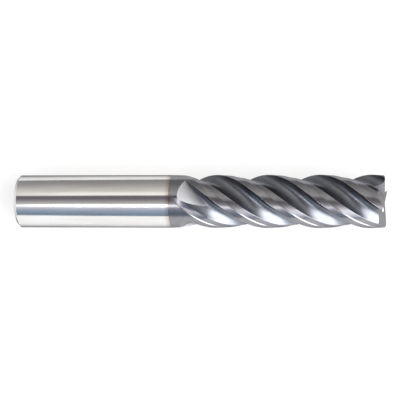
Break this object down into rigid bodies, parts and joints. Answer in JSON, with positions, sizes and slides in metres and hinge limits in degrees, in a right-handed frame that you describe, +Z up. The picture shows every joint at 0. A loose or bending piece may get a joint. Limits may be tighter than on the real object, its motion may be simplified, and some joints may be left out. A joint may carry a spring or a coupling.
{
  "type": "end mill",
  "caption": "Solid carbide square-shouldered end mill with helical flutes, dark coated cutting end and plain bright cylindrical shank.",
  "frame": {"origin": "centre of the shank's flat end face", "axes": "+X along the tool's axis towards the cutting end, +Z up as the tool lies on its side"},
  "size_m": [0.07, 0.01, 0.01],
  "materials": {
    "ground_carbide": "bright fine-ground",
    "coated_carbide": "dark grey-violet hard coating over ground carbide",
    "coated_flute": "dark coating over polished flutes"
  },
  "bodies": {
    "root": {"shank": "ground_carbide", "neck": "coated_carbide", "core": "coated_flute", "tooth_1": "coated_carbide", "tooth_2": "coated_carbide", "tooth_3": "coated_carbide", "tooth_4": "coated_carbide"}
  },
  "joints": []
}
